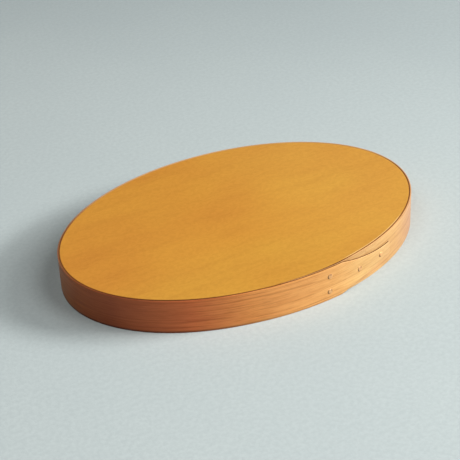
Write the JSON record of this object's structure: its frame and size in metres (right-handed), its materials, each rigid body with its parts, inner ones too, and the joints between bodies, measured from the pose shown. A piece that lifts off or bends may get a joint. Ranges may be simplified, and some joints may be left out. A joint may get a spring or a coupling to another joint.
{
  "type": "oval bentwood tray",
  "caption": "Shallow oval tray: one bent wooden band, lapped and tacked in a single finger, pegged round a thin flat board.",
  "frame": {"origin": "middle of the tray's outline, in the plane of the rim on which it stands when stored upside down", "axes": "+X along the oval's long axis, +Z from the rim towards the board, so the tray is turned over about X for use; the band's lap is on the -Y side and its finger points to +X"},
  "size_m": [0.27, 0.1855, 0.0258],
  "materials": {
    "cherry_band": "oiled cherry, satin",
    "maple_board": "honey-coloured varnish, satin",
    "copper_tack": "dulled copper",
    "peg_wood": "end grain, sanded flush"
  },
  "bodies": {
    "root": {"band": "cherry_band", "bottom_board": "maple_board", "tack_upper": "copper_tack", "tack_lower": "copper_tack", "tack_finger_middle": "copper_tack", "tack_finger_tip": "copper_tack", "peg_01": "peg_wood", "peg_02": "peg_wood", "peg_03": "peg_wood", "peg_04": "peg_wood", "peg_05": "peg_wood", "peg_06": "peg_wood", "peg_07": "peg_wood", "peg_08": "peg_wood", "peg_09": "peg_wood", "peg_10": "peg_wood", "peg_11": "peg_wood", "peg_12": "peg_wood", "peg_13": "peg_wood", "peg_14": "peg_wood"}
  },
  "joints": []
}
